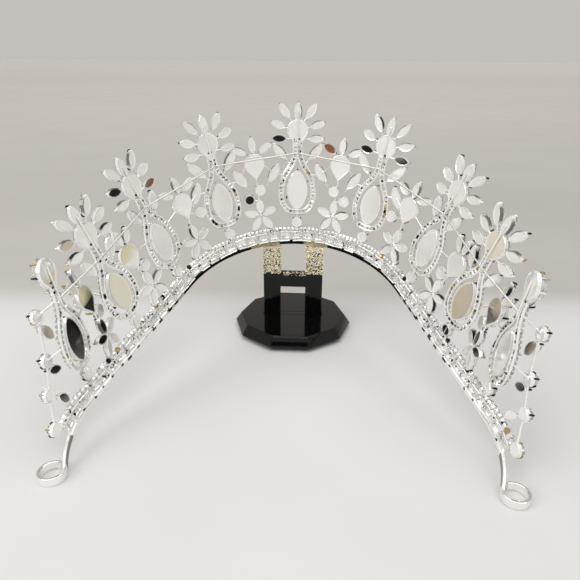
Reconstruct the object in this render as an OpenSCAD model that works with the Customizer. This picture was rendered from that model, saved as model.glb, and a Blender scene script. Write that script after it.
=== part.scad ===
// Rhinestone pageant crown on a small display stand. All sizes in millimetres.
// The origin is on the table below the middle of the stand, X runs to the right of someone who
// looks into the crown's hollow from its open back, +Y is the crown's front and Z is up.

/* [Band] */
// How far the band runs on past the sheet of leaves and rounds at each end
end_margin = 2; // [0.5:0.1:8]
// How far the band has turned where its front bow meets the straight sides, degrees
front_turn = 68; // [45:1:80]
// How far the ends of the band turn inward beyond the straight sides, degrees
end_turn = 23; // [0:1:35]
// Height of the band's lower edge above the table at the front
band_rise = 37.8; // [30:0.1:60]
// Height of the flat strip along the band's lower edge
strip_height = 2.4; // [1.6:0.1:3.5]
// Thickness of that strip
strip_thick = 0.9; // [0.6:0.05:1.5]
// Height of the row of square cups above the strip
cup_height = 3; // [2:0.1:4.5]
// Depth of the cups from back to front
cup_depth = 2.4; // [1.5:0.1:4]
// Height of the fine row above the cups
fine_height = 1.5; // [0.8:0.1:2.5]
// Depth of the fine row
fine_depth = 1.3; // [0.8:0.1:2]

/* [Ends] */
// Length of the bare strip between the band and its loop
stem_length = 11.5; // [6:0.5:20]
// How far the bare strip bends inward, degrees
stem_turn = 22; // [0:1:40]
// Outer diameter of the loop at each end
loop_diameter = 8; // [6:0.1:12]
// Height of the loop
loop_height = 2.6; // [1.5:0.1:4]

/* [Motifs] */
// Distance from one motif to the next along the band's lower edge
motif_pitch = 26; // [24:0.1:30]
// Height of a motif above the band's lower edge
motif_height = 56; // [45:0.5:70]
// Thickness of the flat backs of the settings
back_thick = 1.1; // [0.8:0.05:2]
// Length of a motif's large pointed oval stone
navette_length = 15.2; // [10:0.1:18]
// Width of that stone
navette_width = 7.5; // [5:0.1:9]
// Length of the pear stone on top of a motif
spray_pear_length = 10; // [7:0.1:12]
// Width of that pear stone
spray_pear_width = 7.2; // [5:0.1:9]
// Length of the pear stone between two motifs
mid_pear_length = 9.4; // [7:0.1:11]
// Width of that pear stone
mid_pear_width = 7.2; // [5:0.1:8]
// Length of a common leaf-shaped stone
leaf_length = 5.4; // [4:0.1:6.5]
// Width of a leaf-shaped stone
leaf_width = 2.2; // [1.5:0.1:3]
// Diameter of a round stone
round_diameter = 3.5; // [2.5:0.1:4.5]
// Width of the metal rim around each stone
rim = 0.4; // [0.3:0.05:0.8]
// Width of the ring's strip around a large oval stone
ring_width = 2.1; // [1.4:0.05:2.4]
// Diameter of the wires along the crown's back
wire = 0.8; // [0.6:0.05:1.4]

/* [Stones] */
// Height of the large stones
large_stone_height = 2.7; // [1.5:0.1:4]
// Height of the small stones
small_stone_height = 1.3; // [0.8:0.05:2]
// Gap between a stone and the metal behind it
stone_gap = 0.1; // [0.05:0.01:0.2]

/* [Stand] */
// Width of the upright plate
plate_width = 25; // [20:0.5:34]
// Thickness of the plate
plate_thick = 3; // [2:0.1:5]
// Width of one leg of the plate
leg_width = 7.2; // [5:0.1:9]
// Height of the crossbar's lower edge above the table
crossbar_low = 19; // [14:0.5:26]
// Height of the crossbar
crossbar_height = 6.5; // [4:0.1:10]
// Largest diameter of the ten-sided base
base_diameter = 50.5; // [40:0.5:70]
// Diameter of the base at the table
foot_diameter = 46; // [36:0.5:64]
// Diameter of the base's top face
top_diameter = 45; // [36:0.5:64]
// Height of the base
base_height = 6; // [4:0.1:10]
// Height of the base's widest edge above the table
girdle_height = 2; // [1:0.1:4]
// Depth of the slot that the plate stands in
slot_depth = 3; // [2:0.1:5]
// Gap between the crown's band and the stand, and around the plate in its slot
fit_gap = 0.12; // [0.05:0.01:0.3]
// How far the crown sits to the right of the stand's middle
crown_shift = 1.3; // [-3:0.1:3]

/* [Hidden] */
eps = 0.01;
// how far each sheet of the crown leans outward and away from the crown's middle, and how much
// further than the band below it turns inward, degrees, columns [outward, aside, inward], from the
// middle motif by turns a sheet between two motifs and a motif, and last the sheet at each end
lean_table = [[22.5, 0, 0], [21, 0, 0], [19, -1, 0], [18.5, -0.5, 0], [18, 0, 0], [15, 6, 0],
    [12, 1, 3], [12.5, -10, 24], [7, -15, 24], [11, -13.5, 0]];
motifs = (len(lean_table) - 2) / 2;
// half of the band's length: the sheet at each end stands half a pitch past the last motif
half_length = (motifs + 0.5) * motif_pitch + end_margin;
// plan of one side of the band, columns [share of half_length, turn in degrees]
plan = [[0.42, front_turn], [0.48, 0], [0.10, end_turn]];

function side(m) = m < 0 ? -1 : 1;
// end of an arc of length l that turns by a, begun at p = [x, y, heading]
function arc_end(p, l, a) = let (c = abs(a) < 0.01 ? l : l * sin(a / 2) * 360 / (PI * a))
    [p[0] + c * cos(p[2] + a / 2), p[1] - c * sin(p[2] + a / 2), p[2] + a];
function walk(s, i = 0, p = [0, 0, 0]) = let (l = plan[i][0] * half_length)
    i == len(plan) - 1 || s <= l ? arc_end(p, s, plan[i][1] * s / l)
        : walk(s - l, i + 1, arc_end(p, l, plan[i][1]));
// place and heading on the band's lower edge, at length s from the front
function along(s) = let (q = walk(abs(s))) [side(s) * q[0], q[1], side(s) * q[2]];
// a value of lean_table for the sheet m pitches from the middle
function lean(m, col) = let (a = min(2 * abs(m), 2 * motifs + 1), i = min(floor(a), 2 * motifs))
    lean_table[i][col] + (lean_table[i + 1][col] - lean_table[i][col]) * (a - i);
// a point of sheet m in the crown's own frame: w across, h up the sheet, z toward the hollow
function spot(m, w, h, z = 0) = let (q = along(m * motif_pitch), t = q[2] + side(m) * lean(m, 2),
    a = lean(m, 0), g = side(m) * lean(m, 1),
    x = w * cos(g) + h * sin(g), y = h * cos(g) - w * sin(g),
    up = y * cos(a) + z * sin(a), inward = z * cos(a) - y * sin(a))
    [q[0] + x * cos(t) - inward * sin(t), q[1] - x * sin(t) - inward * cos(t), up];

// the end of the bare strip touches the table, which settles the crown's tilt
band_end = along(half_length);
stem_end = arc_end(band_end, stem_length, stem_turn);
tilt = asin(band_rise / -(stem_end[1] + strip_thick * min(0, cos(stem_end[2]))));
// the prongs reach up to the lowest part of the band above them
sag = -along(plate_width / 2 + abs(crown_shift))[1] * sin(tilt);
prong_top = band_rise - sag - fit_gap;

band_top = strip_height + cup_height + fine_height;
u = motif_height;
// leaf stones on the right half of a motif's spray, columns [across, up, turn, length, width],
// places in shares of motif_height, turn in degrees to the right, sizes in shares of a leaf's
spray_leaves = [[0.090, 0.936, 36, 1.05, 1.05], [0.134, 0.848, 71, 0.95, 1.05],
    [0.128, 0.757, 88, 0.95, 1.05]];
// the long leaf below them, smaller where the motifs stand closer together
function low_leaf(m) = abs(m) < 2 ? [0.122, 0.665, 40, 1.4, 1.2] : [0.096, 0.655, 21, 1.1, 1.1];
top_leaf = [0, 0.933, 0, 1.12, 1.1];
shoulder_leaf = [0.166, 0.52, -29, 1.35, 1.3];
// leaves over a pear between two motifs, measured from the pear's middle, across counted toward
// the crown's middle: where the motifs stand closer together, only one side has a leaf
near_leaves = [[0, 0.148, 0, 1, 1], [0.09, 0.118, 62, 0.95, 1], [-0.09, 0.118, -62, 0.95, 1]];
far_leaves = [[0, 0.148, 0, 1, 1], [0.060, 0.126, 38, 0.9, 1]];
end_side_leaves = [[0, 0.148, 0, 1, 1], [-0.060, 0.126, -38, 0.9, 1]];
function mid_leaves(m) = abs(m) < 2 ? near_leaves : abs(m) < 3 ? far_leaves : end_side_leaves;
// outline of the right half of a motif's ring, columns [across, up] in shares of motif_height
ring_side = [[0, 0.222], [0.068, 0.238], [0.118, 0.295], [0.134, 0.385], [0.112, 0.495],
    [0.052, 0.6], [0.034, 0.67], [0.034, 0.75]];
navette_up = 0.402 * u;
round_up = 0.168 * u;
spray_pear_up = 0.787 * u;
flower_up = 0.24 * u;
// the outer flowers stand a little nearer the middle
function flower_across(m) = abs(m) < 2 ? 0 : -side(m) * (abs(m) > 3 ? 0.01 : 0.02) * u;
neck_up = 0.66 * u;
// height of the pear stones between the motifs: the two beside the middle motif sit higher
function mid_up(m) = (abs(m) < 1 ? 0.587 : 0.498) * u;
// round stones between the motifs, columns [toward the middle, up] in shares of motif_height
near_rounds = [[0.018, 0.42], [-0.066, 0.362]];
function mid_rounds(m) = abs(m) < 1 ? near_rounds : abs(m) < 2 ? [[0.108, 0.40]] : [[0.054, 0.385]];
// round stones down the two ends, columns [toward the middle, up] in shares of motif_height
end_rounds = [[0.13, 0.66], [0.055, 0.44], [-0.035, 0.29], [-0.105, 0.12]];
// leaves of the two ends
end_leaves = [[0.14, 0.56, -28, 1.1, 1.2], [0.075, 0.37, -62, 0.9, 1], [0.04, 0.205, -35, 0.9, 1]];
// leaves of a flower, columns [turn in degrees to the left, length as a share of a leaf's]
flower_rows = [[0, 1], [73, 1], [-73, 1], [146, 1.1], [-146, 1.1]];

// depth of the ties, in the middle of the backs
tie_depth = -back_thick / 2;
spray_m = [for (k = [-motifs:motifs]) k];
mid_m = [for (k = [-motifs:motifs - 1]) k + 0.5];
end_m = [for (g = [-1, 1]) g * (motifs + 0.5)];

// outlines, each around the middle of its stone
function pointed(l, w, n = 12) = [for (i = [0:n - 1]) let (a = 360 * i / n)
    [w / 2 * sign(sin(a)) * pow(abs(sin(a)), 1.5), l / 2 * cos(a)]];
function leaf_line(l, w) = [[0, l / 2], [w * 0.36, l * 0.25], [w / 2, 0], [w * 0.36, -l * 0.25],
    [0, -l / 2], [-w * 0.36, -l * 0.25], [-w / 2, 0], [-w * 0.36, l * 0.25]];
// the tails of the leaves grow where taller motifs set the leaves further apart
stretch = max(0, 0.0964 * u - leaf_length);
leaf_tail = 0.45 * leaf_length + 2 * stretch;
// the metal behind a leaf, whose tips run on into a thin tail and head
function leaf_back(l, w, tail = leaf_tail, head = 0) = [[0, l / 2 + head], [w / 2, l * 0.16],
    [w / 2, -l * 0.16], [0, -l / 2 - tail], [-w / 2, -l * 0.16], [-w / 2, l * 0.16]];
function drop_line(l, w, n) = concat([[0, -l / 2]],
    [for (i = [0:n - 1]) let (a = -28 + 236 * i / (n - 1)) [w / 2 * cos(a), l / 2 - w / 2 + w / 2 * sin(a)]]);
function round_line(d, n = 8) = [for (i = [0:n - 1]) d / 2 * [sin(360 * i / n), cos(360 * i / n)]];
ring_line = u * concat(ring_side, [for (i = [len(ring_side) - 1:-1:1]) [-ring_side[i][0], ring_side[i][1]]]);

module in_crown() translate([crown_shift, 0, band_rise]) rotate([tilt, 0, 0]) children();
// the flat sheet of motif m: x across, y up, the backs at z = 0 and the stones toward -z
module sheet(m) {
    q = along(m * motif_pitch);
    translate([q[0], q[1], 0]) rotate([0, 0, -q[2] - side(m) * lean(m, 2)]) rotate([90 - lean(m, 0), 0, 0])
        rotate([0, 0, -side(m) * lean(m, 1)]) children();
}
// puts the children on each row's place and turn, g = -1 for the left half
module at_rows(rows, g = 1) for (r = rows) translate([g * r[0] * u, r[1] * u, 0]) rotate(-g * r[2]) {
    $long = r[3] * leaf_length;
    $wide = r[4] * leaf_width;
    children();
}
module both_sides() {
    children();
    mirror([1, 0, 0]) children();
}
module strut(a, b) {
    v = b - a;
    translate(a) rotate(atan2(v[1], v[0])) translate([0, -wire / 2]) square([norm(v), wire]);
}
module wire_rod(a, b) {
    v = b - a;
    translate(a) rotate([0, acos(v[2] / norm(v)), atan2(v[1], v[0])]) rotate(45)
        cylinder(d = wire * 1.2, h = norm(v), $fn = 4);
}
module plate(deep = back_thick, from = 0) translate([0, 0, -from - deep]) linear_extrude(deep) children();
// a cut stone in front of metal that is `from` thick: a flat back, a table and a facet for each side
module cut_stone(outline, high, from, table = 0.55) translate([0, 0, -from - stone_gap]) mirror([0, 0, 1])
    linear_extrude(high, scale = table) polygon(outline);

// the band: strip, row of cups and fine row in one section, columns [depth outward, height]
module band() {
    n = 34;
    section = [[0, 0], [strip_thick, 0], [cup_depth, strip_height - 0.4],
        [cup_depth, strip_height + cup_height], [fine_depth + 0.4, band_top], [0.4, band_top],
        [0.4, strip_height], [0, strip_height]];
    c = len(section);
    points = [for (i = [0:n]) let (s = half_length * (2 * i / n - 1), q = along(s),
            a = lean(s / motif_pitch, 0))
        for (p = section) let (out = p[0] + pow(p[1], 2) / band_top * sin(a),
            up = p[1] * (1 - (1 - cos(a)) * p[1] / band_top))
            [q[0] + out * sin(q[2]), q[1] + out * cos(q[2]), up]];
    polyhedron(points, concat([[for (j = [0:c - 1]) j]], [[for (j = [0:c - 1]) n * c + c - 1 - j]],
        [for (i = [0:n - 1], j = [0:c - 1]) let (k = (j + 1) % c)
            [i * c + j, (i + 1) * c + j, (i + 1) * c + k, i * c + k]]), convexity = 6);
}

// the bare strip and its loop, which lies flat on the table, at the right-hand end
module end_strip() {
    n = 3;
    q = [for (i = [0:n]) arc_end(band_end, stem_length * i / n, stem_turn * i / n)];
    translate([0, 0, band_rise]) rotate([tilt, 0, 0]) for (i = [0:n - 1]) hull() for (p = [q[i], q[i + 1]])
        translate([p[0], p[1], 0]) rotate([0, 0, -p[2]]) translate([-eps, 0, 0])
            cube([2 * eps, strip_thick, strip_height]);
    r = loop_diameter / 2;
    h = stem_end[2];
    translate([stem_end[0] + r * sin(h), stem_end[1] * cos(tilt) + r * cos(h), 0]) rotate([0, 0, 270 - h])
        linear_extrude(loop_height) difference() {
            circle(r = r, $fn = 16);
            circle(r = r - strip_thick, $fn = 16);
            rotate(-35) translate([0, -strip_thick]) square([r + strip_thick, 2 * strip_thick]);
        }
}

// flat backs of one motif: ring, large oval, pear, round and leaves
module motif_outline(m) {
    difference() {
        polygon(ring_line);
        offset(delta = -ring_width) polygon(ring_line);
    }
    translate([0, navette_up]) polygon(pointed(navette_length + 2 * rim, navette_width + 2 * rim));
    translate([0, spray_pear_up])
        polygon(drop_line(spray_pear_length + 2 * rim, spray_pear_width + 2 * rim, 8));
    translate([0, round_up]) polygon(round_line(round_diameter + 2 * rim));
    strut([0, band_top - cup_height / 3], [0, 0.6 * u]);
    at_rows(motif_leaves(m)) polygon(leaf_back($long + 2 * rim, $wide + 2 * rim));
    at_rows(motif_leaves(m), -1) polygon(leaf_back($long + 2 * rim, $wide + 2 * rim));
    if (abs(m) < 2) for (g = [-1, 1]) strut([g * 0.098, 0.51] * u, [g * shoulder_leaf[0], 0.51] * u);
}
// the last motif at each end has none
function motif_leaves(m) = abs(m) == motifs ? [] : concat([top_leaf], spray_leaves, [low_leaf(m)],
    abs(m) < 2 ? [shoulder_leaf] : []);
module motif_metal(m) sheet(m) {
    plate() motif_outline(m);
    wire_rod([0, neck_up - 0.027 * u, wire * 0.3],
        [0, (abs(m) < motifs ? top_leaf[1] : 0.84) * u, wire * 0.3]);
}

// flat backs between two motifs: flower, rounds, pear and leaves; g = 1 where the crown's middle is
// to the right
module mid_outline(m) {
    g = -side(m);
    tip = mid_up(m) - mid_pear_length / 2;
    translate([flower_across(m), flower_up]) at_flower() rotate(180)
        polygon(leaf_back($long + 2 * rim, $wide + 2 * rim, 0.22 * leaf_length,
            0.28 * leaf_length + 2 * stretch));
    strut([flower_across(m), flower_up + 0.9 * leaf_length], [0, tip + 0.1 * mid_pear_length]);
    for (r = mid_rounds(m)) {
        translate([g * r[0], r[1]] * u) polygon(round_line(round_diameter + 2 * rim));
        strut([g * r[0], r[1]] * u, [0, r[1] + (abs(m) < 1 ? -0.018 : 0.036)] * u);
    }
    translate([0, mid_up(m)]) {
        polygon(drop_line(mid_pear_length + 2 * rim, mid_pear_width + 2 * rim, 8));
        at_rows(mid_leaves(m), -side(m)) polygon(leaf_back($long + 2 * rim, $wide + 2 * rim));
    }
}
module at_flower() for (r = flower_rows) rotate(r[0]) translate([0, 0.6 + rim + r[1] * leaf_length / 2]) {
    $long = r[1] * leaf_length;
    $wide = leaf_width * 1.1;
    children();
}

// flat backs down one end of the crown
module end_outline(m) {
    g = -side(m);
    p = [for (r = end_rounds) [g * r[0], r[1]] * u];
    for (i = [0:len(p) - 1]) {
        translate(p[i]) polygon(round_line(round_diameter + 2 * rim));
        if (i > 0) strut(p[i - 1], p[i]);
        if (i < len(end_leaves)) strut([g * end_leaves[i][0], end_leaves[i][1]] * u, p[i]);
    }
    at_rows(end_leaves, g)
        polygon(leaf_back($long + 2 * rim, $wide + 2 * rim, 0.1 * leaf_length));
}

module crown_frame() color("silver") union() {
    in_crown() {
        band();
        for (m = spray_m) motif_metal(m);
        for (m = mid_m) sheet(m) plate() mid_outline(m);
        for (m = end_m) sheet(m) plate() end_outline(m);
        // the wire from neck to neck
        for (m = [-motifs:motifs - 1])
            wire_rod(spot(m, 0, neck_up, wire * 0.3), spot(m + 1, 0, neck_up, wire * 0.3));
        // ties from each pear to the motifs beside it, to a shoulder leaf or to the ring
        for (m = mid_m, g = [-1, 1])
            wire_rod(spot(m, g * (mid_pear_width / 2 + rim), mid_up(m), tie_depth), abs(m + g / 2) < 2
                ? spot(m + g / 2, -g * shoulder_leaf[0] * u, shoulder_leaf[1] * u, tie_depth)
                : spot(m + g / 2, -g * 0.107 * u, 0.47 * u, tie_depth));
        for (m = end_m) {
            g = side(m);
            wire_rod(spot(m, -g * end_rounds[1][0] * u, end_rounds[1][1] * u, tie_depth),
                spot(g * motifs, g * 0.1125 * u, 0.43 * u, tie_depth));
            wire_rod(spot(m, -g * end_rounds[0][0] * u, end_rounds[0][1] * u, tie_depth),
                spot(g * motifs, g * 0.036 * u, neck_up, tie_depth));
        }
    }
    translate([crown_shift, 0, 0]) both_sides() end_strip();
}

module navette_stone(k) color("aliceblue") in_crown() sheet(spray_m[k - 1])
    translate([0, navette_up, 0])
        cut_stone(pointed(navette_length, navette_width), large_stone_height, back_thick);
module spray_pear_stone(k) color("aliceblue") in_crown() sheet(spray_m[k - 1])
    translate([0, spray_pear_up, 0])
        cut_stone(drop_line(spray_pear_length, spray_pear_width, 9), large_stone_height, back_thick);
module mid_pear_stone(k) color("aliceblue") in_crown() sheet(mid_m[k - 1])
    translate([0, mid_up(mid_m[k - 1]), 0])
        cut_stone(drop_line(mid_pear_length, mid_pear_width, 9), large_stone_height, back_thick);
module leaf_stone() cut_stone(leaf_line($long, $wide), small_stone_height, back_thick);
module round_stone() cut_stone(round_line(round_diameter), small_stone_height * 1.3, back_thick);

module spray_leaf_stones() color("aliceblue") in_crown() for (m = spray_m) sheet(m) {
    at_rows(motif_leaves(m)) leaf_stone();
    at_rows([for (r = motif_leaves(m)) if (r[0] > 0) r], -1) leaf_stone();
}
module mid_leaf_stones() color("aliceblue") in_crown() {
    for (m = mid_m) sheet(m) translate([0, mid_up(m), 0])
        at_rows(mid_leaves(m), -side(m)) leaf_stone();
    for (m = end_m) sheet(m) at_rows(end_leaves, -side(m)) leaf_stone();
}
module flower_stones() color("aliceblue") in_crown() for (m = mid_m) sheet(m)
    translate([flower_across(m), flower_up, 0]) at_flower() leaf_stone();
module round_stones() color("aliceblue") in_crown() {
    for (m = spray_m) sheet(m) translate([0, round_up, 0]) round_stone();
    for (m = mid_m, r = mid_rounds(m)) sheet(m) translate([-side(m) * r[0], r[1], 0] * u) round_stone();
    for (m = end_m, r = end_rounds) sheet(m) translate([-side(m) * r[0], r[1], 0] * u) round_stone();
}

module stand_plate() color("black") translate([0, plate_thick / 2, 0]) rotate([90, 0, 0])
    linear_extrude(plate_thick) difference() {
        translate([-plate_width / 2, base_height - slot_depth + fit_gap])
            square([plate_width, prong_top - base_height + slot_depth - fit_gap]);
        translate([leg_width - plate_width / 2, crossbar_low + crossbar_height])
            square([plate_width - 2 * leg_width, prong_top]);
        translate([leg_width - plate_width / 2, base_height])
            square([plate_width - 2 * leg_width, crossbar_low - base_height]);
    }

module stand_base() color("black") difference() {
    union() {
        linear_extrude(girdle_height, scale = base_diameter / foot_diameter)
            circle(d = foot_diameter, $fn = 10);
        translate([0, 0, girdle_height])
            linear_extrude(base_height - girdle_height, scale = top_diameter / base_diameter)
                circle(d = base_diameter, $fn = 10);
    }
    translate([-plate_width / 2 - fit_gap, -plate_thick / 2 - fit_gap, base_height - slot_depth])
        cube([plate_width + 2 * fit_gap, plate_thick + 2 * fit_gap, 2 * slot_depth]);
}

crown_frame();
for (k = [1:2 * motifs + 1]) {
    navette_stone(k);
    spray_pear_stone(k);
}
for (k = [1:2 * motifs]) mid_pear_stone(k);
spray_leaf_stones();
mid_leaf_stones();
flower_stones();
round_stones();
stand_plate();
stand_base();
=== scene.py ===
import math
import random

import bmesh
import bpy
from mathutils import Matrix, Vector


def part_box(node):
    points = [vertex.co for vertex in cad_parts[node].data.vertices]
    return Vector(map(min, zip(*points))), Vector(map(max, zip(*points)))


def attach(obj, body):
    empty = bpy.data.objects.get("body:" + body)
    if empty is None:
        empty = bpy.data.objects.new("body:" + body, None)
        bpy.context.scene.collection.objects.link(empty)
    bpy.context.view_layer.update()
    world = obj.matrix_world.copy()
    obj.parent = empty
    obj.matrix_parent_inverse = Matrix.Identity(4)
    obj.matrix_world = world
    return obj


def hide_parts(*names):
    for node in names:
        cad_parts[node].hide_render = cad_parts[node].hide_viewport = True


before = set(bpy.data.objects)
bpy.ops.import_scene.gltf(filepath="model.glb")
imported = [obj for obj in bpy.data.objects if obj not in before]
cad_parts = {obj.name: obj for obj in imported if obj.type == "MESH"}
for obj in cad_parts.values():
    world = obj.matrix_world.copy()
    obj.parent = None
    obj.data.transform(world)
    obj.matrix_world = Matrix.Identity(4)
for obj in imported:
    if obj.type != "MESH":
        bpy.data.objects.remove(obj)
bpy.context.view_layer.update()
draw = random.Random(7)
mm = 0.001
print("frame loaded")

# the crown's own layout in millimetres, the same sizes as the solids have
crown = {
    "halfLength": 119,
    "plan": [(0.42, 68), (0.48, 0), (0.10, 23)],  # share of half the length, turn in degrees
    "rise": 37.8,
    "shift": 1.3,
    "pitch": 26,
    "height": 56,
    # outward, aside and further inward than the band, in degrees, for every half motif from the middle
    "lean": [(22.5, 0, 0), (21, 0, 0), (19, -1, 0), (18.5, -0.5, 0), (18, 0, 0), (15, 6, 0),
             (12, 1, 3), (12.5, -10, 24), (7, -15, 24), (11, -13.5, 0)],
    "backThick": 1.1,
    "stoneGap": 0.1,
}
motifCount = 4  # on each side of the middle one
motifPlaces = list(range(-motifCount, motifCount + 1))
midPlaces = [k + 0.5 for k in range(-motifCount, motifCount)]
endPlaces = [-motifCount - 0.5, motifCount + 0.5]
tall = crown["height"]


def turned(axis, degrees):
    return Matrix.Rotation(math.radians(degrees), 4, axis)


def moved(x, y, z=0):
    return Matrix.Translation((x, y, z))


def sideOf(m):
    return -1 if m < 0 else 1


# place and heading at the end of an arc that starts with a given place and heading
def arcEnd(start, length, turn):
    half = math.radians(turn) / 2
    chord = length if abs(half) < 1e-4 else length * math.sin(half) / half
    heading = math.radians(start[2]) + half
    return start[0] + chord * math.cos(heading), start[1] - chord * math.sin(heading), start[2] + turn


# place and heading on the band's lower edge, s millimetres from the front
def alongBand(s):
    left, end = abs(s), (0, 0, 0)
    for i, (share, turn) in enumerate(crown["plan"]):
        length = share * crown["halfLength"]
        step = left if i == len(crown["plan"]) - 1 else min(left, length)
        end = arcEnd(end, step, turn * step / length)
        left -= step
        if left <= 0:
            break
    return sideOf(s) * end[0], end[1], sideOf(s) * end[2]


def leanAt(m):
    rows = crown["lean"]
    a = min(2 * abs(m), len(rows) - 1)
    i = min(int(a), len(rows) - 2)
    return [rows[i][c] + (rows[i + 1][c] - rows[i][c]) * (a - i) for c in (0, 1, 2)]


strip = {"height": 2.4, "thick": 0.9, "soft": 0.18}
# the strip's bare ends and the loops that they curl into, a loop's sweep and start in degrees
endStrip = {
    "length": 11.5, "turn": 22, "parts": 8,
    "faceDepth": -0.05,  # faces above this depth are the inner face
    "loop": 8.0, "loopHeight": 2.6, "loopSweep": 338, "loopStart": 24, "loopParts": 40, "loopSoft": 0.2,
}
bandEnd = alongBand(crown["halfLength"])
stemEnd = arcEnd(bandEnd, endStrip["length"], endStrip["turn"])
lowest = stemEnd[1] + strip["thick"] * min(0, math.cos(math.radians(stemEnd[2])))
tilt = math.degrees(math.asin(crown["rise"] / -lowest))
crownPlace = moved(crown["shift"], 0, crown["rise"]) @ turned("X", tilt)


# the flat sheet of motif m: x across, y up the sheet, z toward the hollow
def sheetPlace(m):
    x, y, heading = alongBand(m * crown["pitch"])
    outward, aside, inward = leanAt(m)
    return (crownPlace @ moved(x, y) @ turned("Z", -heading - sideOf(m) * inward)
            @ turned("X", 90 - outward) @ turned("Z", -sideOf(m) * aside))


# materials
def nodeMaterial(name):
    material = bpy.data.materials.new(name)
    material.use_nodes = True
    return material, material.node_tree, material.node_tree.nodes["Principled BSDF"]


def setInputs(node, values):
    for name, value in values.items():
        node.inputs[name].default_value = value


def addNode(tree, kind, inputs={}):
    node = tree.nodes.new("ShaderNode" + kind)
    setInputs(node, inputs)
    return node


def noiseOn(tree, scale, detail=3.0):
    spot = addNode(tree, "TexCoord")
    noise = addNode(tree, "TexNoise", {"Scale": scale, "Detail": detail})
    tree.links.new(spot.outputs["Object"], noise.inputs["Vector"])
    return noise.outputs["Fac"]


def rampFrom(tree, source, low, high, start=0.35, end=0.65):
    ramp = addNode(tree, "MapRange", {"From Min": start, "From Max": end, "To Min": low, "To Max": high})
    tree.links.new(source, ramp.inputs["Value"])
    return ramp.outputs["Result"]


# a gloss that is a little uneven
def varyGloss(tree, shader, scale, low, high):
    tree.links.new(rampFrom(tree, noiseOn(tree, scale), low, high), shader.inputs["Roughness"])


# clouds, specks and smears are scales of the noise that makes a surface uneven
metal = {"inputs": {"Specular IOR Level": 0.25}, "clouds": 260}
crystal = {
    "inputs": {"Base Color": (0.97, 0.98, 1.0, 1), "IOR": 1.55, "Transmission Weight": 0.9},
    "clouds": 300, "roughness": (0.0, 0.05),
}
acrylic = {
    "inputs": {"Specular IOR Level": 0.22, "Coat Weight": 0.08, "Coat Roughness": 0.03},
    "clean": (0.003, 0.003, 0.003, 1), "dusty": (0.02, 0.02, 0.019, 1),
    "specks": (900, 4.0), "dust": (0.62, 0.75),  # the noise values between which dust sets in
    "smears": 90, "roughness": (0.03, 0.12),
}


# metal whose colour is the tone painted on the piece, silver with painted shade and painted reflections, a
# little uneven in gloss and in surface
def metalMaterial(name, roughness, bumpScale, bumpStrength, bumpDepth, metallic=1.0):
    material, tree, shader = nodeMaterial(name)
    setInputs(shader, {"Metallic": metallic, **metal["inputs"]})
    tone = addNode(tree, "Attribute")
    tone.attribute_name = "tone"
    tree.links.new(tone.outputs["Color"], shader.inputs["Base Color"])
    varyGloss(tree, shader, metal["clouds"], *roughness)
    bump = addNode(tree, "Bump", {"Strength": bumpStrength, "Distance": bumpDepth})
    tree.links.new(noiseOn(tree, bumpScale, 2.0), bump.inputs["Height"])
    tree.links.new(bump.outputs["Normal"], shader.inputs["Normal"])
    return material


def crystalMaterial():
    material, tree, shader = nodeMaterial("clearCrystal")
    setInputs(shader, crystal["inputs"])
    varyGloss(tree, shader, crystal["clouds"], *crystal["roughness"])
    return material


def blackMaterial():
    material, tree, shader = nodeMaterial("blackAcrylic")
    setInputs(shader, acrylic["inputs"])
    dust = addNode(tree, "Mix")
    dust.data_type = "RGBA"
    setInputs(dust, {"A": acrylic["clean"], "B": acrylic["dusty"]})
    specks = noiseOn(tree, *acrylic["specks"])
    tree.links.new(rampFrom(tree, specks, 0.0, 1.0, *acrylic["dust"]), dust.inputs["Factor"])
    tree.links.new(dust.outputs["Result"], shader.inputs["Base Color"])
    varyGloss(tree, shader, acrylic["smears"], *acrylic["roughness"])
    return material


bright = (0.96, 0.955, 0.93)
# tones painted on some parts: painted reflections of dark and warm surroundings, and painted shade
darkTone = (0.015, 0.0145, 0.0135)
slateTone = (0.09, 0.085, 0.075)
greyTone = (0.2, 0.19, 0.17)
brownTone = (0.3, 0.1, 0.04)
glintTone = (0.45, 0.33, 0.12)
beigeTone = (0.62, 0.54, 0.42)
sandTone = (0.7, 0.61, 0.36)
warmTone = (0.8, 0.74, 0.52)
paleTone = (0.86, 0.81, 0.68)
# metals: roughness from and to, then scale, strength and depth of the fine grain, and how metallic
finishes = {
    "mirror": metalMaterial("polishedMetal", (0.03, 0.1), 500, 0.12, 0.00006),
    "satin": metalMaterial("satinMetal", (0.12, 0.26), 500, 0.12, 0.00006, 0.55),
    "metal": metalMaterial("silverMetal", (0.1, 0.22), 1400, 0.3, 0.00008, 0.75),
    "gold": metalMaterial("goldGlitter", (0.15, 0.35), 2000, 0.2, 0.00005, 0.6),
    "crystal": crystalMaterial(),
    "foil": metalMaterial("stoneFoil", (0.02, 0.06), 500, 0.1, 0.00004),
    "black": blackMaterial(),
}


def newMesh(bm, name):
    mesh = bpy.data.meshes.new(name)
    bm.to_mesh(mesh)
    bm.free()
    return mesh


def addObject(name, data):
    thing = bpy.data.objects.new(name, data)
    bpy.context.scene.collection.objects.link(thing)
    return thing


# a finished mesh becomes a piece that rides on the part's body
def addPiece(name, mesh, finish, nodes):
    mesh.materials.append(finishes[finish])
    if finish == "crystal":
        mesh.materials.append(finishes["foil"])
    piece = addObject(name, mesh)
    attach(piece, "root")
    if nodes:
        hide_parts(*nodes)
    print(name, len(mesh.polygons), "faces")


# turns a bmesh in millimetres into a finished piece
def finishPiece(name, bm, finish, nodes=(), smooth=False):
    bmesh.ops.recalc_face_normals(bm, faces=bm.faces)
    bmesh.ops.scale(bm, vec=(mm, mm, mm), verts=bm.verts)
    for face in bm.faces:
        face.smooth = smooth
    mesh = newMesh(bm, name)
    if not smooth:
        mesh.shade_flat()
    addPiece(name, mesh, finish, nodes)


def newPiece():
    bm = bmesh.new()
    bm.loops.layers.float_color.new("tone")
    return bm


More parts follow.
